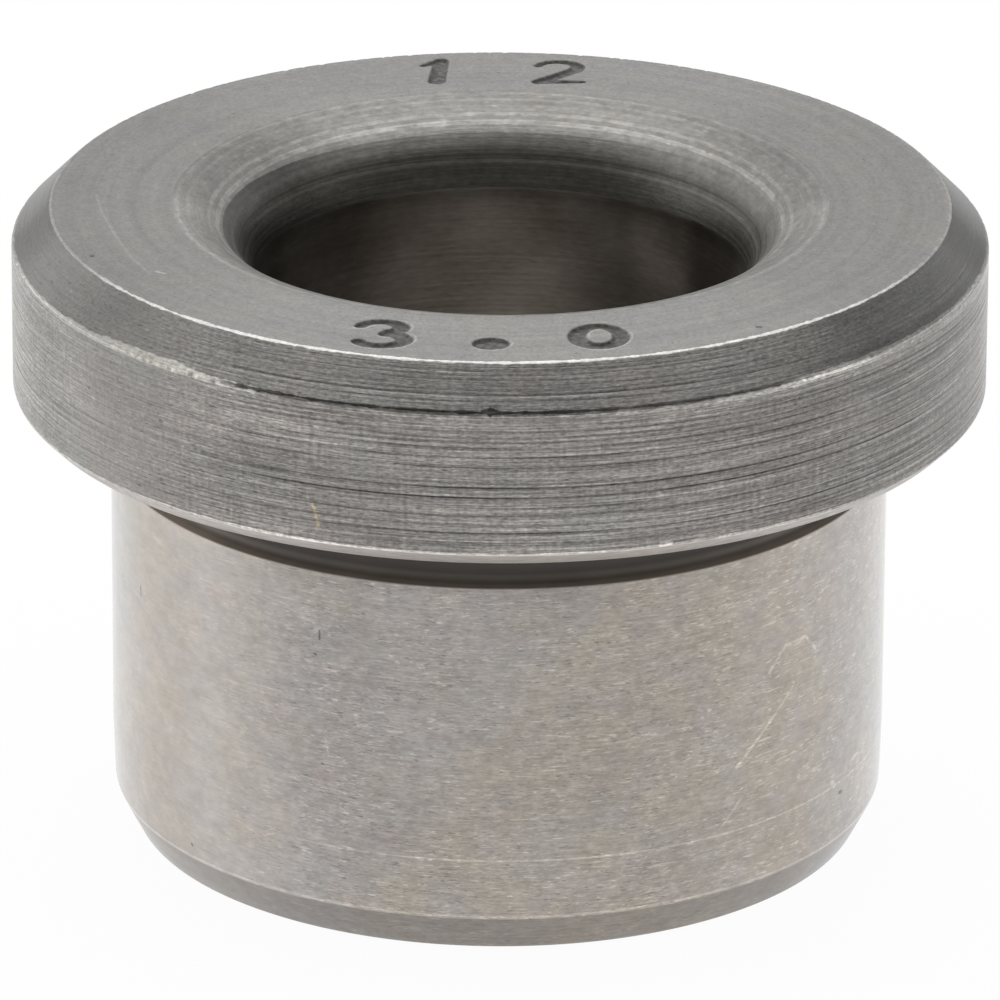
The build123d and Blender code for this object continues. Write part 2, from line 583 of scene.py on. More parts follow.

# %% [markdown]
# ## A flat map of the surface
# A program that can't run node materials gets them as pictures, which a UV map lays on the surface. An
# automatic map would cut a turned piece into many patches and waste much of the picture. This map unrolls
# the whole surface into one strip: the angle round the axis goes across, the distance along the outline
# goes up, and the stretches with the finest marks get the most room.

# %% Unroll the surface into one strip
FLAT_MAP, STRIP = "OFBake", 0.99
ROOM = {
    "turned_side": 1.6, "turned_chamfer": 1.6, "faced_top": 1.35, "lead_in": 1.35,
    "lower_edge": 1.3, "relief_groove": 0.7, "faced_foot": 0.7, "reamed_bore": 0.5,
}
room = np.array([ROOM.get(FINISH_OF[finish], 1.0) for finish in finishes]) * segment_length
room_below = np.concatenate([[0], np.cumsum(room)]) / room.sum()
corner_point = read_all(mesh.loops, "vertex_index", kind=int)
corner_count = read_all(mesh.polygons, "loop_total", kind=int)
middle_angle, _, middle_along, _ = lathe_places(face_middles())


def beside(values, middles, period):
    """The value of each corner of each face, taken on the same turn as the middle of its face."""
    middle = np.repeat(middles, corner_count)
    return middle + (values[corner_point] - middle + period / 2) % period - period / 2


across = 0.5 + beside(angle, middle_angle, 2 * math.pi) / (2 * math.pi) * STRIP
up = 0.5 + (np.interp(beside(along, middle_along, along_at[-1]), along_at, room_below) - 0.5) * STRIP
flat_map = mesh.uv_layers.new(name=FLAT_MAP, do_init=False)
flat_map.uv.foreach_set("vector", np.stack([across, up], axis=1).ravel())
print(f"flat map: {across.min():.3f} to {across.max():.3f} across, {up.min():.3f} to {up.max():.3f} up")

# %% [markdown]
# ## Tools for the finishes
# Every finish is a metal shader whose colour, roughness and bump come from patterns. The patterns need two
# kinds of coordinates. Streaks that follow the lathe are long round the axis and thin along the outline,
# so their vector mixes the object coordinates with the kept distance along the outline. Stains and
# scratches read plain object coordinates. Every helper adds its nodes to the finish that was opened last.

# %% Make helpers that add nodes
def open_finish(name):
    """Makes the node tree of one material the one that the helpers below add to."""
    global tree
    material = bpy.data.materials[name]
    material.use_nodes = True
    tree = material.node_tree


def add(kind, inputs=None, **settings):
    """Adds a shader node and gives its inputs a value or a link."""
    node = tree.nodes.new("ShaderNode" + kind)
    for name, value in settings.items():
        setattr(node, name, value)
    for socket, value in (inputs or {}).items():
        if isinstance(value, bpy.types.NodeSocket):
            tree.links.new(value, node.inputs[socket])
        else:
            node.inputs[socket].default_value = value
    return node


def calc(operation, first, second=0.0, third=0.0):
    return add("Math", {0: first, 1: second, 2: third}, operation=operation).outputs[0]


def product(*factors):
    result = factors[0]
    for factor in factors[1:]:
        result = calc("MULTIPLY", result, factor)
    return result


def slope_up(value, low, high, bottom=0.0, top=1.0):
    """Goes smoothly from bottom to top while the value goes from low to high."""
    inputs = {"Value": value, "From Min": low, "From Max": high, "To Min": bottom, "To Max": top}
    return add("MapRange", inputs, interpolation_type="SMOOTHSTEP").outputs[0]


def toned(mask, factor):
    """A factor that is 1 off a mask and reaches the given value on it."""
    return slope_up(mask, 0, 1, 1, factor)


def weaker(mask, loss):
    """A share that is 1 off a mask and less by the loss on it."""
    return calc("MULTIPLY_ADD", mask, -loss, 1.0)


def between(value, low, high, soft):
    """1 while a value lies between two limits, with soft ends."""
    return product(slope_up(value, low - soft, low + soft), slope_up(value, high + soft, high - soft))


def mixed(factor, first, second, way="MIX"):
    return add("Mix", {0: factor, 6: first, 7: second}, data_type="RGBA", blend_type=way).outputs[2]


def kept(name):
    """One of the point attributes of the mesh."""
    return add("Attribute", attribute_name=name).outputs["Fac"]


def past(where):
    """How far past one place along the outline."""
    return calc("SUBTRACT", kept("along"), where)


def place():
    """Object coordinates in millimetres."""
    coordinates = add("TexCoord").outputs["Object"]
    return add("VectorMath", {0: coordinates, 3: 1 / MM}, operation="SCALE").outputs[0]


def apart(vector):
    return add("SeparateXYZ", {0: vector}).outputs


def joined(x, y, z=0.0):
    return add("CombineXYZ", {0: x, 1: y, 2: z}).outputs[0]


def streaks(length, thickness, shift, detail):
    """Noise from 0 to 1 about 0.5, in streaks of one length round the axis and one thickness along the
    outline, in mm."""
    x, y, _ = apart(place())
    across = calc("MULTIPLY_ADD", kept("along"), 1 / thickness, shift)
    vector = joined(calc("DIVIDE", x, length), calc("DIVIDE", y, length), across)
    return add("TexNoise", {"Vector": vector, "Scale": 1.0, "Detail": detail}).outputs[0]


def cloud(size, detail=3.0, shift=0.0):
    """Stains of one size in millimetres, the same in every direction."""
    inputs = {"Vector": place(), "Scale": 1 / size, "Detail": detail, "W": shift}
    return add("TexNoise", inputs, noise_dimensions="4D").outputs[0]


def swing(value, amount, share=1.0):
    """Turns noise about 0.5 into a factor about 1. The share can weaken it from place to place."""
    return calc("MULTIPLY_ADD", calc("SUBTRACT", value, 0.5), product(share, 2 * amount), 1.0)


def turn_angle():
    """The angle round the axis from the front, in radians, to the right positive."""
    x, y, _ = apart(place())
    return calc("ARCTAN2", x, product(y, -1.0))


def sector(low, high, soft):
    """1 between two angles round the axis, in degrees, with soft ends in radians."""
    return between(turn_angle(), math.radians(low), math.radians(high), soft)


def plan():
    """The place seen from above, in millimetres."""
    x, y, _ = apart(place())
    return joined(x, y)


def unrolled(radius):
    """The side of the part laid flat: distance round the axis from the front, and height above the top."""
    return joined(product(turn_angle(), radius), calc("SUBTRACT", apart(place())[2], TOP))


def near_line(where, half_width, ragged=0.0, length=0.3, shift=0.0):
    """1 on a line round the part at one distance along the outline, with a ragged width."""
    off = calc("ABSOLUTE", past(where))
    off = calc("MULTIPLY_ADD", calc("SUBTRACT", streaks(length, 0.6, shift, 3), 0.5), ragged, off)
    return slope_up(calc("DIVIDE", off, half_width), 1.3, 0.7)


def scratch(flat_place, start, end, half_width):
    """1 on a straight scratch between two points of a flat or unrolled surface, in mm."""
    start, end = Vector((*start, 0)), Vector((*end, 0))
    reach = end - start
    offset = add("VectorMath", {0: flat_place, 1: start}, operation="SUBTRACT").outputs[0]
    way = reach / reach.length_squared
    run = add("VectorMath", {0: offset, 1: way}, operation="DOT_PRODUCT").outputs[1]
    run = add("Clamp", {0: run}).outputs[0]
    foot = add("VectorMath", {0: reach, 3: run}, operation="SCALE").outputs[0]
    gap = add("VectorMath", {0: offset, 1: foot}, operation="DISTANCE").outputs[1]
    return slope_up(gap, half_width * 1.5, half_width * 0.5)


def scratches(flat_place, lines):
    """The strongest of several scratches at each place."""
    result = 0.0
    for start, end, half_width, strength in lines:
        result = calc("MAXIMUM", product(scratch(flat_place, start, end, half_width), strength), result)
    return result


# %% Make a helper that finishes a metal
OIL_ROUGHNESS = 0.16
QUARTER_TURN = 0.25


def finish_metal(name, tint, tone, roughness, height, height_mm, anisotropy=0.0, oil=0.0, metallic=1.0):
    """Fills one slot: a tint of the metal, a tone that lightens or darkens it, roughness and bump height.
    Marks that run round the axis stretch a highlight across them, hence the quarter turn. A thin film of
    oil is a clear coat, which shines most where the surface turns away."""
    shader = tree.nodes["Principled BSDF"]
    constants = {
        "Metallic": metallic, "Anisotropic": anisotropy, "Anisotropic Rotation": QUARTER_TURN,
        "Coat Weight": oil, "Coat Roughness": OIL_ROUGHNESS,
    }
    for socket, value in constants.items():
        shader.inputs[socket].default_value = value
    bump = add("Bump", {"Height": height, "Strength": 1.0, "Distance": height_mm * MM}).outputs[0]
    links = {"Base Color": mixed(1.0, tint, tone, "MULTIPLY"), "Roughness": roughness, "Normal": bump}
    if anisotropy:
        links["Tangent"] = add("Tangent", direction_type="RADIAL", axis="Z").outputs[0]
    for socket, value in links.items():
        tree.links.new(value, shader.inputs[socket])
    print(f"{name}: {len(tree.nodes)} nodes")


WARM_STEEL = (0.262, 0.243, 0.222, 1)
COOL_STEEL = (0.246, 0.243, 0.231, 1)
NEUTRAL_STEEL = (0.250, 0.246, 0.240, 1)
PINK_STEEL = (0.257, 0.241, 0.227, 1)

# %% [markdown]
# ## Turned side and chamfer of the head
# A lathe tool leaves fine lines round the part, with torn dashes between them. Soft steel tears and
# leaves dark grooves, and handling polishes the ridges. Noise patterns of different length and thickness
# give the lines and dashes, and the kept depth of cut darkens the real grooves.

# %% Work out the wear of the edges, with their painted shadow and painted highlight
CRACK_ENDS = math.radians(-33), math.radians(36)
BURR_ENDS = math.radians(-52), math.radians(-38)
BURR_WIDTH, BURR_THIN, RUB_WIDTH = 0.13, 0.065, 0.025
RUB_AND_HIGHLIGHT_ENDS = -58, 60
NOTCH_REACH, NOTCH_RISE = (0.022, 0.07), 0.045
LOWER_CORNER = corner_along(HEAD, SEAT + LOWER_CHAMFER)


def burr_mask():
    """1 on the rolled burr of the shoulder edge, widest on the left and missing where the edge is torn."""
    angle = turn_angle()
    off = past(SHOULDER_EDGE)
    wobble = calc("SUBTRACT", streaks(0.25, 0.2, 8.0, 3), 0.5)
    width = slope_up(between(angle, *BURR_ENDS, 0.08), 0, 1, BURR_THIN, BURR_WIDTH)
    reach = calc("DIVIDE", calc("MULTIPLY_ADD", wobble, 0.09, off), width)
    intact = calc("SUBTRACT", 1.0, between(angle, CRACK_ENDS[0] + 0.1, CRACK_ENDS[1], 0.08))
    chips = slope_up(streaks(0.15, 0.12, 5.0, 2), 0.25, 0.5, 0.7, 1)
    return product(slope_up(reach, 1.2, 0.8), slope_up(off, -0.05, -0.02), intact, chips)


def crack_shadow_mask():
    """1 on the torn line and the notch beside the shoulder edge, where the tone paints the shadow under the
    rolled burr.
    """
    angle = turn_angle()
    torn = near_line(SHOULDER_EDGE + 0.03, 0.024, 0.075, 0.2, 4.0)
    torn = product(torn, between(angle, *CRACK_ENDS, 0.06))
    aside = calc("ABSOLUTE", calc("SUBTRACT", angle, NOTCH_ANGLE))
    off = calc("ABSOLUTE", past(SHOULDER_EDGE + NOTCH_RISE))
    diamond = calc("MULTIPLY_ADD", off, 1 / NOTCH_REACH[1], calc("DIVIDE", aside, NOTCH_REACH[0]))
    rough = calc("SUBTRACT", streaks(0.06, 0.04, 9.0, 2), 0.5)
    diamond = calc("MULTIPLY_ADD", rough, 1.2, diamond)
    return calc("MAXIMUM", torn, slope_up(diamond, 1.25, 0.85))


def rubbed_rim_and_highlight():
    """Brightness of the rubbed edge between chamfer and top, clearest at the front: real rubbing and a
    painted highlight.
    """
    clear = slope_up(sector(*RUB_AND_HIGHLIGHT_ENDS, 0.25), 0, 1, 0.3, 1)
    uneven = slope_up(streaks(0.7, 5.0, 3.0, 2), 0.35, 0.65, 0.7, 1.3)
    width = slope_up(calc("ABSOLUTE", turn_angle()), 0.3, 1.1, RUB_WIDTH, RUB_WIDTH * 0.8)
    rim = near_line(TOP_EDGE, product(width, uneven), 0.08, 0.15, 2.0)
    return toned(product(rim, clear), 2.3)


# %% Finish the turned side and the chamfer
BURR_STEEL = (0.262, 0.252, 0.228, 1)
STRAW_FLECK = (0.36, 0.30, 0.20, 1)
SIDE_FLECK = [((-2.82, -2.24), (-2.73, -2.57), 0.022, 1.0)]
SIDE_CHIP = [((2.47, -2.8), (2.6, -2.79), 0.045, 1.0)]
# Bands of painted highlight and painted shade beside the shoulder edge: how far past it, half width,
# raggedness with its length and seed, the angles that they lie between with their softness, and tone
EDGE_HIGHLIGHT_AND_SHADE_BANDS = [
    (-0.09, 0.09, 0.1, 0.4, 7.0, (0.325, 2.4, 0.175), 1.3),
    (-0.04, 0.045, 0.08, 0.2, 12.0, (0.45, 0.85, 0.12), 1.5),
    (0.12, 0.07, 0.14, 0.5, 11.0, (0.62, 1.25, 0.12), 0.75),
]


def turned(name, tone_level, rough, seed, groove_tone, line_amounts, warmth, painted_shade_parts, worn_parts):
    """Painted shade parts are angles in degrees with a tone, where the part is painted darker as shade.
    Worn parts are angles where the lines are weaker.
    """
    open_finish(name)
    angle = turn_angle()
    painted_light_and_shade, worn = 1.0, 0.0
    for low, high, part_tone in painted_shade_parts:
        painted_light_and_shade = product(painted_light_and_shade, toned(sector(low, high, 0.2), part_tone))
    # Painted highlight below the shoulder edge and painted shade above it, on the right
    for beyond, half_width, ragged, length, shift, angles, band_tone in EDGE_HIGHLIGHT_AND_SHADE_BANDS:
        band = near_line(SHOULDER_EDGE + beyond, half_width, ragged, length, shift)
        painted_light_and_shade = product(painted_light_and_shade, toned(product(band, between(angle, *angles)), band_tone))
    for low, high in worn_parts:
        worn = calc("MAXIMUM", worn, sector(low, high, 0.2))
    smoother = toned(worn, 0.4)
    short = product(smoother, toned(between(angle, 0.75, 2.4, 0.25), 0.75))
    lines, fine_lines = streaks(5.0, 0.04, seed, 2), streaks(2.5, 0.021, seed + 3, 1)
    dashes, long_dashes = streaks(0.09, 0.026, seed + 7, 3), streaks(0.5, 0.03, seed + 9, 2)
    chatter = streaks(0.06, 0.5, seed + 11, 2)
    torn = slope_up(streaks(0.16, 0.03, seed + 31, 1), 0.62, 0.78)
    shiny = slope_up(streaks(0.13, 0.026, seed + 43, 1), 0.64, 0.80)
    broken = slope_up(streaks(0.4, 0.04, seed + 21, 1), 0.35, 0.6, 0.75, 1)
    chipped = product(
        slope_up(streaks(0.3, 0.3, 25.0, 2), 0.46, 0.6),
        near_line(SHOULDER_EDGE - 0.025, 0.03, 0.08, 0.12, 21.0), between(angle, -0.6, 0.45, 0.1),
    )
    flat_side, burr = unrolled(HEAD), burr_mask()
    fleck, chip = scratches(flat_side, SIDE_FLECK), scratches(flat_side, SIDE_CHIP)
    # The tone paints a shadow in the torn line and notch, and shade and highlight by angle and beside the
    # edges.
    tone = product(
        tone_level, painted_light_and_shade,
        swing(lines, line_amounts[0], smoother), swing(fine_lines, line_amounts[1], smoother),
        swing(dashes, 0.85, short), swing(long_dashes, 0.45, short), swing(chatter, 0.23, short),
        swing(cloud(0.06, 2, seed), 0.28), swing(cloud(1.1, 3, seed), 0.2),
        toned(torn, 0.6), toned(shiny, 1.45), weaker(product(kept("cut"), broken), 1 - groove_tone),
        toned(crack_shadow_mask(), slope_up(angle, 0.1, 0.32, 0.2, 0.5)), toned(chipped, 1.4), toned(burr, 2.1),
        toned(fleck, 1.1), toned(chip, 1.7), toned(near_line(LOWER_CORNER, 0.03, 0.04, 0.3, 6.0), 2.0),
        rubbed_rim_and_highlight(),
    )
    warm = slope_up(cloud(1.1, 2, seed + 5), *warmth)
    warm = product(warm, slope_up(calc("ABSOLUTE", angle), 0.7, 1.1, 1, 0.55))
    yellow = product(burr, between(angle, *BURR_ENDS, 0.1))
    tint = mixed(yellow, mixed(warm, COOL_STEEL, PINK_STEEL), BURR_STEEL)
    roughness = calc("MULTIPLY_ADD", dashes, 0.16, rough - 0.08)
    height = calc("ADD", product(lines, 0.4), product(dashes, 0.6))
    finish_metal(name, mixed(fleck, tint, STRAW_FLECK), tone, roughness, height, 0.006, 0.4, 0.3)


# Painted shade: angles in degrees and tone where the side and the chamfer are darker, as less light falls
# there.
SIDE_PAINTED_SHADE, SIDE_WORN = [(-76, -38, 0.86), (31, 82, 0.71), (46, 72, 0.84)], [(-62, -40)]
CHAMFER_PAINTED_SHADE = [(-130, -45, 0.6), (8, 40, 0.87), (42, 130, 0.42), (62, 130, 0.8)]
CHAMFER_WORN = [(-110, -43), (72, 125)]
turned("turned_side", 1.28, 0.5, 2.0, 0.36, (0.55, 0.75), (0.25, 0.55), SIDE_PAINTED_SHADE, SIDE_WORN)
turned("turned_chamfer", 0.8, 0.45, 60.0, 0.42, (0.17, 0.45), (0.35, 0.7), CHAMFER_PAINTED_SHADE, CHAMFER_WORN)

# %% [markdown]
# ## Faced top
# The top was faced and then blasted or tumbled, so it is matt: a fine speckle, faint rings and small dark
# pits. The stamped figures are darker inside, with painted shade by their far wall and a painted highlight
# on their raised lip, which lies on the front right side of each stroke. The face is painted darker at its
# left and right sides, as shade.

# %% Finish the faced top and foot
SCRIBED_ARC = [(-6.211, 0.198), (-6.09, -0.601), (-5.893, -1.436), (-5.616, -2.436), (-5.256, -3.295)]
TOP_SCRATCHES = [(a, b, 0.02, 0.4) for a, b in zip(SCRIBED_ARC, SCRIBED_ARC[1:])]
TOP_SCRATCHES += [((-5.17, -3.165), (-5.047, -3.249), 0.03, 1.0)]


def faced(name, tone_level, seed):
    open_finish(name)
    speckle, mottle, stains = cloud(0.055, 3, seed), cloud(0.2, 2, seed + 2), cloud(0.8, 3, seed + 4)
    rings, wide_rings = streaks(9.0, 0.09, seed, 2), streaks(25.0, 0.3, seed + 3, 2)
    pits = slope_up(cloud(0.09, 1, seed + 8), 0.71, 0.78)
    # Painted shade: the face is darker at its left and right sides.
    aside = between(calc("ABSOLUTE", turn_angle()), math.radians(45), math.radians(135), 0.35)
    pressed = slope_up(cloud(0.08, 2, seed + 9), 0.35, 0.65, 0.27, 0.53)
    pressed = product(pressed, slope_up(kept("shadow"), 0.1, 0.9, 1, 0.5))
    tone = product(
        tone_level, swing(speckle, 0.5), swing(mottle, 0.16), swing(stains, 0.12), swing(rings, 0.13),
        swing(wide_rings, 0.14), toned(pits, 0.55), toned(aside, 0.87),
        slope_up(kept("stamp"), 0.0, 0.5, 1, pressed), slope_up(kept("nick"), 0.2, 0.8, 1, 0.5),
        slope_up(kept("lip"), 0.2, 1, 1, 1.5), toned(scratches(plan(), TOP_SCRATCHES), 1.5), rubbed_rim_and_highlight(),
    )
    tint = mixed(slope_up(stains, 0.4, 0.65), NEUTRAL_STEEL, COOL_STEEL)
    finish_metal(name, tint, tone, slope_up(speckle, 0.2, 0.8, 0.5, 0.62), speckle, 0.005)


faced("faced_top", 1.16, 11.0)
faced("faced_foot", 1.2, 31.0)

# %% [markdown]
# ## Rounded mouth and bore
# The mouth of the hole was turned with a form tool and rubbed bright in its upper part, so it keeps clear
# rings and a sharper shine. Its left side, its flanks and its deeper part are painted darker as shade. The
# bore was reamed or honed and is browner, since it still holds some oil. It is painted darker as shade on
# its left wall, just under the mouth and further down, and lighter at its rear, and a streak at the rear
# right is a painted highlight.

# %% Finish the rounded mouth
mouth = [index for index, finish in enumerate(finishes) if finish == "lead_in"]


def mouth_along(radius):
    """Distance along the outline of the place in the rounded mouth with one radius."""
    return float(np.interp(-radius, -outline[mouth, 0], along_at[mouth]))


RUB_EDGE, THROAT = mouth_along(4.27), corner_along(BORE, TOP - LEAD_DEPTH)
# Radius, half width and brightness of the light rings that the form tool left. Those inside the moved
# radius lie a little higher at the rear.
MOVED_RADIUS = 4.5
TOOL_RINGS = [
    (4.97, 0.03, 1.2), (4.8, 0.03, 1.15), (4.66, 0.02, 1.12), (4.47, 0.035, 1.3), (4.34, 0.045, 1.5),
]
# Distance along the outline, half width, raggedness and tone of the rings in the throat
THROAT_RINGS = [
    (mouth_along(4.0), 0.022, 0.02, 0.7), (mouth_along(3.95), 0.026, 0.03, 1.55), (THROAT, 0.05, 0.0, 0.8),
]
REAR_ANGLES, REAR_SHIFT = (math.radians(105), math.radians(150)), 0.045
FLANK_RISE, FLANK_FALL = (math.radians(84), math.radians(100)), (math.radians(112), math.radians(158))
THROAT_STEEL = (0.253, 0.242, 0.216, 1)

open_finish("lead_in")
rings, wide_rings = streaks(12.0, 0.05, 5.0, 2), streaks(30.0, 0.16, 9.0, 1)
dashes, patches = streaks(0.12, 0.03, 12.0, 3), streaks(0.22, 0.12, 17.0, 2)
chips = slope_up(streaks(0.32, 0.08, 15.0, 2), 0.32, 0.58, 0.35, 1)
wobble = calc("MULTIPLY_ADD", streaks(0.6, 0.5, 2.0, 2), 0.03, kept("along"))
aside = calc("ABSOLUTE", turn_angle())
rear = slope_up(aside, *REAR_ANGLES, 0, REAR_SHIFT)
unrubbed = slope_up(calc("SUBTRACT", wobble, rear), RUB_EDGE + 0.005, RUB_EDGE + 0.035)
# Painted shade: the mouth is darker on its left, rear left and flanks, and deeper down.
open_side, left_painted_shade, rear_left_painted_shade = sector(60, 145, 0.3), sector(-140, -60, 0.3), sector(-132, -100, 0.15)
painted_flank_shade = product(slope_up(aside, *FLANK_RISE), slope_up(aside, *FLANK_FALL, 1, 0))
painted_flank_shade = product(painted_flank_shade, toned(product(unrubbed, open_side), 0.75))
deep_shade_and_tint = slope_up(kept("along"), RUB_EDGE, RUB_EDGE + 0.55)
flecks = product(slope_up(streaks(0.2, 0.09, 21.0, 1), 0.6, 0.74), toned(unrubbed, 0.3))
tone = product(
    swing(rings, 0.3, slope_up(unrubbed, 0, 1, 0.75, 1)),
    swing(wide_rings, 0.45, slope_up(unrubbed, 0, 1, 0.5, 1)), swing(cloud(0.7), 0.12),
    swing(dashes, 0.22), swing(cloud(0.09, 2, 4.0), 0.26), swing(patches, 0.3),
    toned(painted_flank_shade, 0.7), toned(unrubbed, slope_up(open_side, 0, 1, 0.65, 0.81)),
    toned(product(unrubbed, rear_left_painted_shade), 0.8), toned(product(unrubbed, left_painted_shade), 0.8), toned(flecks, 1.16),
    slope_up(kept("along"), THROAT - 0.3, THROAT - 0.08, 1, 1.4), toned(deep_shade_and_tint, 0.55),
)
# The ring at the throat itself is painted darker against the highlight of its round.
for where, half_width, ragged, ring_tone in THROAT_RINGS:
    tone = product(tone, toned(near_line(where, half_width, ragged), ring_tone))
for radius, half_width, brightness in TOOL_RINGS:
    where = calc("SUBTRACT", mouth_along(radius), rear) if radius < MOVED_RADIUS else mouth_along(radius)
    ring = product(near_line(where, half_width, 0.02, 0.3, radius), chips)
    tone = product(tone, toned(ring, brightness))
tint = mixed(slope_up(cloud(0.9, 2, 3.0), 0.45, 0.9), COOL_STEEL, WARM_STEEL)
tint = mixed(deep_shade_and_tint, tint, THROAT_STEEL)
roughness = slope_up(rings, 0.3, 0.7, 0.38, 0.5)
finish_metal("lead_in", tint, tone, roughness, calc("ADD", rings, dashes), 0.003, 0.3)

# %% Finish the bore
OILY_STEEL = (0.395, 0.358, 0.322, 1)
DRY_STEEL = (0.435, 0.405, 0.372, 1)
DIM_STEEL = (0.388, 0.374, 0.356, 1)
BORE_TONE = 1.23

open_finish("reamed_bore")
lines, dashes, stains = streaks(6.0, 0.06, 3.0, 2), streaks(0.2, 0.05, 8.0, 3), cloud(1.2, 3, 6.0)
# Painted shade on the left wall, which also greys its tint, and a painted highlight in a streak at the rear
# right.
left_wall_painted_shade, painted_highlight_streak = sector(-148, -60, 0.25), sector(129, 146, 0.1)
depth = past(THROAT)
# The tone also paints the rear lighter and the wall just under the mouth and further down darker, as shade.
tone = product(
    BORE_TONE, swing(lines, 0.2), swing(dashes, 0.3), swing(stains, 0.12),
    toned(left_wall_painted_shade, slope_up(depth, 1.0, 2.4, 0.66, 0.6)),
    toned(painted_highlight_streak, slope_up(depth, 0.8, 2.0, 1.9, 1.0)),
    slope_up(calc("ABSOLUTE", turn_angle()), math.radians(156), math.radians(175), 0.74, 0.86),
    slope_up(depth, 0, 0.9, 0.92, 1), slope_up(depth, 1.0, 2.6, 1, 0.95),
    slope_up(depth, 0.03, 0.3, 0.68, 1),
)
tint = mixed(product(left_wall_painted_shade, 0.7), mixed(stains, OILY_STEEL, DRY_STEEL), DIM_STEEL)
finish_metal("reamed_bore", tint, tone, slope_up(stains, 0.3, 0.7, 0.3, 0.4), lines, 0.002)

# %% [markdown]
# ## Ground body
# The body is ground to size, so its finish is fine and even: short dashes round the axis, soft stains
# of oil and a few scratches from handling. The scratches are drawn on the unrolled side, each from one
# point to another. Grinding marks stretch the shine, which the anisotropy gives.

# %% Draw the handling scratches of the body
def chain(places, half_width, strength):
    """Scratches through places on the body: angle in degrees from the front, and depth below the top."""
    points = [(math.radians(degrees) * BODY, -depth) for degrees, depth in places]
    return [(a, b, half_width, strength) for a, b in zip(points, points[1:])]


BODY_SCRATCHES = (
    chain([(43.3, 5.99), (46.7, 5.64), (51.2, 5.64), (53.7, 5.92)], 0.03, 0.8)
    + chain([(48.4, 6.38), (37.2, 7.38)], 0.026, 0.8) + chain([(38.3, 7.9), (34.3, 8.33)], 0.024, 0.7)
    + chain([(-26.5, 5.87), (-24.9, 5.77)], 0.016, 0.9) + chain([(-25.7, 6.66), (-25.2, 6.9)], 0.014, 0.6)
    + chain([(-19.2, 5.72), (-16.9, 5.93)], 0.012, 0.4) + chain([(8.0, 6.8), (8.4, 7.06)], 0.012, 0.4)
    + chain([(2.4, 7.9), (4.4, 7.8), (6.3, 7.9)], 0.01, 0.4)
    + chain([(59.0, 8.36), (59.7, 8.42)], 0.05, 0.8)
)
BODY_NICKS = (
    chain([(-26.6, 4.93), (-26.6, 5.07)], 0.018, 0.8) + chain([(-65.9, 5.42), (-65.7, 5.56)], 0.02, 0.8)
    + chain([(61.3, 8.6), (62.0, 8.61)], 0.03, 1.0) + chain([(-51.5, 9.15), (-51.3, 9.17)], 0.02, 0.8)
    + chain([(-26.2, 7.09), (-26.0, 7.1)], 0.02, 0.6) + chain([(-27.4, 5.32), (-27.2, 5.33)], 0.02, 0.7)
)
print(len(BODY_SCRATCHES), "scratches and", len(BODY_NICKS), "nicks")

# %% Finish the ground body
GROUND_COOL = (0.432, 0.406, 0.385, 1)
GROUND_WARM = (0.452, 0.402, 0.346, 1)
GROUND_PINK = (0.450, 0.399, 0.374, 1)
OIL_LEFT, OIL_RIGHT = (math.radians(-70), math.radians(-54)), (-0.06, math.radians(56))
OIL_SOFT, OIL_LEAN, OIL_MIDDLE = 0.14, -0.12, 0.82
PILOT_EDGE = corner_along(BODY, PILOT_HEIGHT)
FOOT_EDGE = corner_along(pilot, FOOT_CHAMFER_HEIGHT)


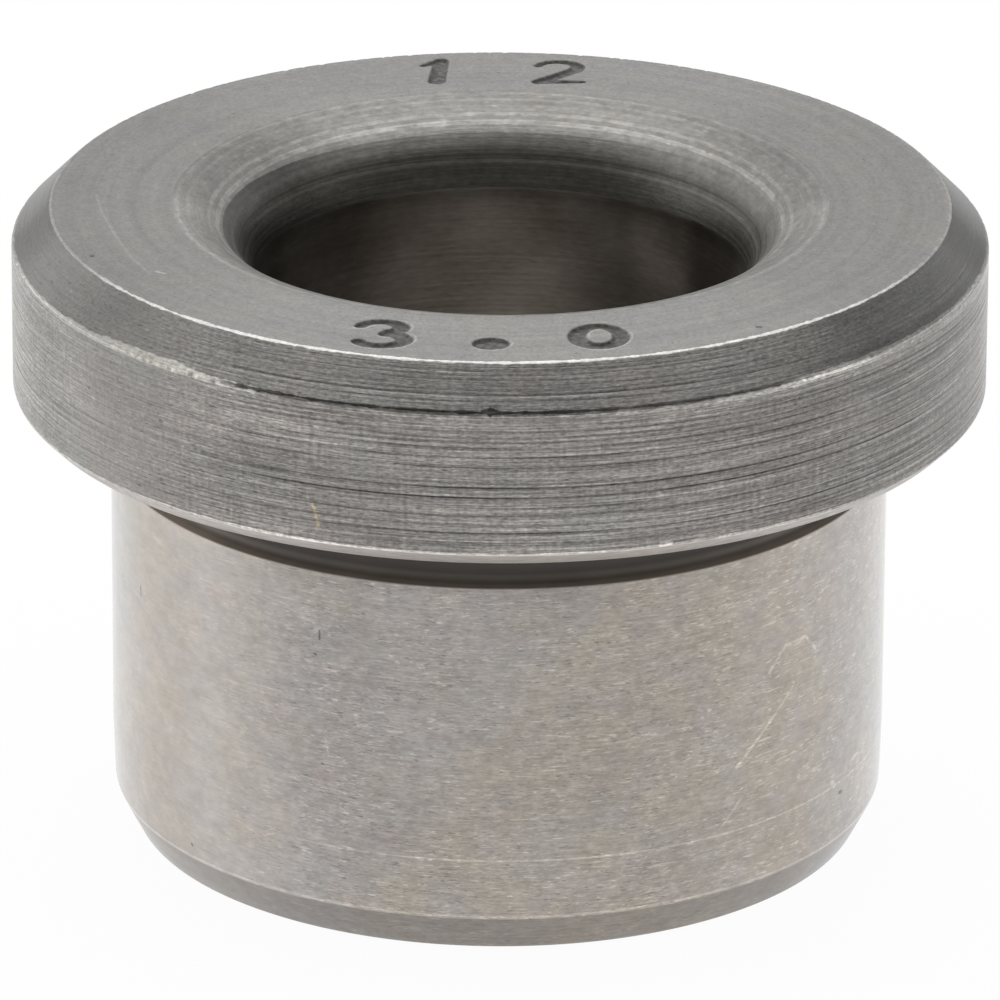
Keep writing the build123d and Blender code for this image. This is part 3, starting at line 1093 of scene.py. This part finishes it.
def ground(name, tone_level, rough, seed, contrast, oil):
    open_finish(name)
    angle = turn_angle()
    left, right = between(angle, -2.4, -0.6, 0.25), between(angle, 0.6, 2.4, 0.3)
    share = product(weaker(left, 0.7), weaker(right, 0.5))
    dashes, coarse = streaks(0.08, 0.022, seed, 3), streaks(0.2, 0.05, seed + 6, 3)
    long_lines, stains = streaks(2.0, 0.035, seed + 9, 3), streaks(0.45, 0.22, seed + 17, 3)
    blotches, wide_stains = cloud(0.16, 2, seed + 1), cloud(1.5, 2, seed + 5)
    clumps = slope_up(streaks(0.9, 0.3, seed + 20, 2), 0.32, 0.55, 0.35, 1)
    short_flecks = slope_up(streaks(0.13, 0.028, seed + 2, 1), 0.61, 0.72)
    long_flecks = slope_up(streaks(0.28, 0.03, seed + 23, 1), 0.63, 0.73)
    bright = product(calc("MAXIMUM", short_flecks, long_flecks), clumps, weaker(left, 0.6))
    dark = product(slope_up(streaks(0.13, 0.026, seed + 4, 1), 0.60, 0.72), share, clumps)
    side = unrolled(BODY)
    worn = slope_up(cloud(0.12, 2, seed + 3), 0.35, 0.6, 0.5, 1)
    scratched, nicked = product(scratches(side, BODY_SCRATCHES), worn), scratches(side, BODY_NICKS)
    rubbed = near_line(PILOT_EDGE, 0.016, 0.05, 0.25, 3.0)
    rubbed = product(rubbed, toned(between(angle, -2.4, -0.45, 0.35), 0.15))
    rubbed = calc("MAXIMUM", rubbed, near_line(FOOT_EDGE, 0.018, 0.04, 0.25, 5.0))
    # Painted light: the body is lighter on its front left and darker on its front right.
    tone = product(
        tone_level, swing(dashes, 0.38 * contrast, share), swing(coarse, 0.36 * contrast, share),
        swing(long_lines, 0.22 * contrast, share), swing(blotches, 0.2, weaker(left, 0.4)),
        swing(stains, 0.2), swing(wide_stains, 0.14), toned(bright, 1 + 0.45 * contrast),
        toned(dark, 1 - 0.36 * contrast), toned(between(angle, -0.9, -0.55, 0.12), 1.09),
        toned(between(angle, 0.75, 1.2, 0.15), 0.92), toned(scratched, 1.45), toned(nicked, 0.4),
        toned(product(rubbed, worn), 1.35),
    )
    leaning = calc("MULTIPLY_ADD", apart(side)[1], OIL_LEAN, calc("SUBTRACT", angle, OIL_MIDDLE))
    film = slope_up(leaning, OIL_RIGHT[0] - OIL_SOFT, OIL_RIGHT[0] + OIL_SOFT)
    film = product(film, slope_up(angle, OIL_RIGHT[1] + OIL_SOFT, OIL_RIGHT[1] - OIL_SOFT))
    film = calc("MAXIMUM", film, between(angle, *OIL_LEFT, 0.1))
    warm = slope_up(calc("MULTIPLY_ADD", film, 0.26, cloud(0.8, 2, seed + 8)), 0.36, 0.92)
    pink = slope_up(cloud(0.6, 1, seed + 12), 0.5, 0.8)
    tint = mixed(pink, mixed(warm, GROUND_COOL, GROUND_WARM), GROUND_PINK)
    roughness = slope_up(dashes, 0.25, 0.75, rough - 0.04, rough + 0.06)
    finish_metal(name, tint, tone, roughness, dashes, 0.003, 0.5, oil)


ground("ground_body", 0.89, 0.44, 14.0, 0.92, 1.0)
ground("foot_chamfer", 0.56, 0.44, 77.0, 0.6, 0.6)

# %% [markdown]
# ## Relief groove and lower edge
# The groove under the head lets a grinding wheel run out. It is never ground, so it keeps its dark
# hardening scale, which is not bare metal. Its ledge and its left end are painted lighter, against the
# shade under the head. The lower edge of the head is rubbed bright.

# %% Finish the groove and the lower edge
SCALE_DARK = (0.076, 0.066, 0.056, 1)
LEDGE_EDGE = corner_along(BODY, ledge)

open_finish("relief_groove")
lines = streaks(5.0, 0.06, 1.0, 2)
# Painted light: the ledge and the left end of the groove are lighter, against the shade under the head.
ledge_painted_light = slope_up(kept("along"), LEDGE_EDGE + 0.38, LEDGE_EDGE + 0.22)
outer_ledge_painted_light = slope_up(kept("along"), LEDGE_EDGE + 0.24, LEDGE_EDGE + 0.06)
tone = product(
    swing(lines, 0.2), swing(cloud(0.6), 0.2), toned(ledge_painted_light, 2.85), toned(outer_ledge_painted_light, 1.95),
    toned(between(turn_angle(), -1.5, -0.8, 0.2), 1.45),
)
roughness = slope_up(lines, 0.3, 0.7, 0.5, 0.65)
finish_metal("relief_groove", SCALE_DARK, tone, roughness, lines, 0.003, metallic=0.0)

open_finish("lower_edge")
wear = streaks(0.25, 0.05, 6.0, 3)
tone = product(
    slope_up(wear, 0.35, 0.65, 0.9, 1.1), swing(cloud(1.0), 0.1),
    slope_up(calc("ABSOLUTE", turn_angle()), 0.3, 1.0, 2.0, 1.7),
    toned(near_line(LOWER_CORNER, 0.03, 0.04, 0.3, 6.0), 1.6),
)
finish_metal("lower_edge", PINK_STEEL, tone, slope_up(wear, 0.3, 0.7, 0.45, 0.35), wear, 0.003)

# %% [markdown]
# ## Floor and light
# The part stands on a plain pale floor. The camera and reflections see the floor mostly as white paper,
# while a share of plain diffuse shading keeps the soft shadow. One wide lamp hangs overhead, one stands
# behind and one at each side, as round a small product in a light tent. Two low strips light the sides
# of the body, which mirror what is near the floor.

# %% Lay the floor
FLOOR_RADIUS, FLOOR_DROP = 600.0, 0.01
PALE, WHITE_SHARE = (0.86, 0.86, 0.86, 1), 0.96
bpy.ops.mesh.primitive_circle_add(vertices=96, radius=FLOOR_RADIUS * MM, fill_type="NGON")
bpy.context.object.location.z = -FLOOR_DROP * MM
floor = bpy.context.object
floor.name = "floor"
paper = bpy.data.materials.new("white_paper")
paper.use_nodes = True
tree = paper.node_tree
tree.nodes.remove(tree.nodes["Principled BSDF"])
rays = add("LightPath").outputs
seen = calc("ADD", rays["Is Camera Ray"], rays["Is Glossy Ray"])
seen = calc("MINIMUM", calc("ADD", seen, rays["Is Transmission Ray"]), 1.0)
matt = add("BsdfDiffuse", {"Color": PALE}).outputs[0]
white = add("Emission", {"Color": (1, 1, 1, 1), "Strength": 1.0}).outputs[0]
surface = add("MixShader", {0: product(seen, WHITE_SHARE), 1: matt, 2: white}).outputs[0]
tree.links.new(surface, tree.nodes["Material Output"].inputs["Surface"])
floor.data.materials.append(paper)

# %% Light the part
ROOM_LIGHT = 0.32
world = bpy.data.worlds.new("studio")
bpy.context.scene.world = world
world.use_nodes = True
background = world.node_tree.nodes["Background"]
background.inputs["Color"].default_value = (1, 1, 1, 1)
background.inputs["Strength"].default_value = ROOM_LIGHT


def softbox(name, azimuth, elevation, size_mm, radiance, distance=330.0):
    """A square lamp that points at the head. Its power follows from how bright its face should look.
    Azimuth is in degrees from the front, to the right positive."""
    lamp = bpy.data.lights.new(name, "AREA")
    lamp.shape = "RECTANGLE"
    lamp.size, lamp.size_y = (side * MM for side in size_mm)
    lamp.energy = radiance * math.pi * lamp.size * lamp.size_y
    holder = bpy.data.objects.new(name, lamp)
    bpy.context.scene.collection.objects.link(holder)
    turn, rise = math.radians(azimuth), math.radians(elevation)
    way = Vector((math.sin(turn) * math.cos(rise), -math.cos(turn) * math.cos(rise), math.sin(rise)))
    target = Vector((0, 0, TOP * MM))
    holder.location = target + way * distance * MM
    holder.rotation_euler = (-way).to_track_quat("-Z", "Y").to_euler()
    holder.visible_camera = False
    print(f"{name}: {lamp.energy:.3f} W")


softbox("overhead", 180, 81, (420, 290), 1.5, 280)
softbox("behind", 180, 30, (400, 230), 0.9)
softbox("left", -112, 27, (430, 260), 1.05)
softbox("right", 112, 25, (420, 250), 0.55)
softbox("low left", -112, 5, (400, 60), 3.9)
softbox("low right", 112, 5, (400, 60), 3.6)
bpy.context.scene.view_settings.view_transform = "Standard"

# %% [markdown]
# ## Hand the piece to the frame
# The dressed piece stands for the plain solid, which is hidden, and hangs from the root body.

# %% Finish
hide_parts("drill_bushing")
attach(bushing, "root")
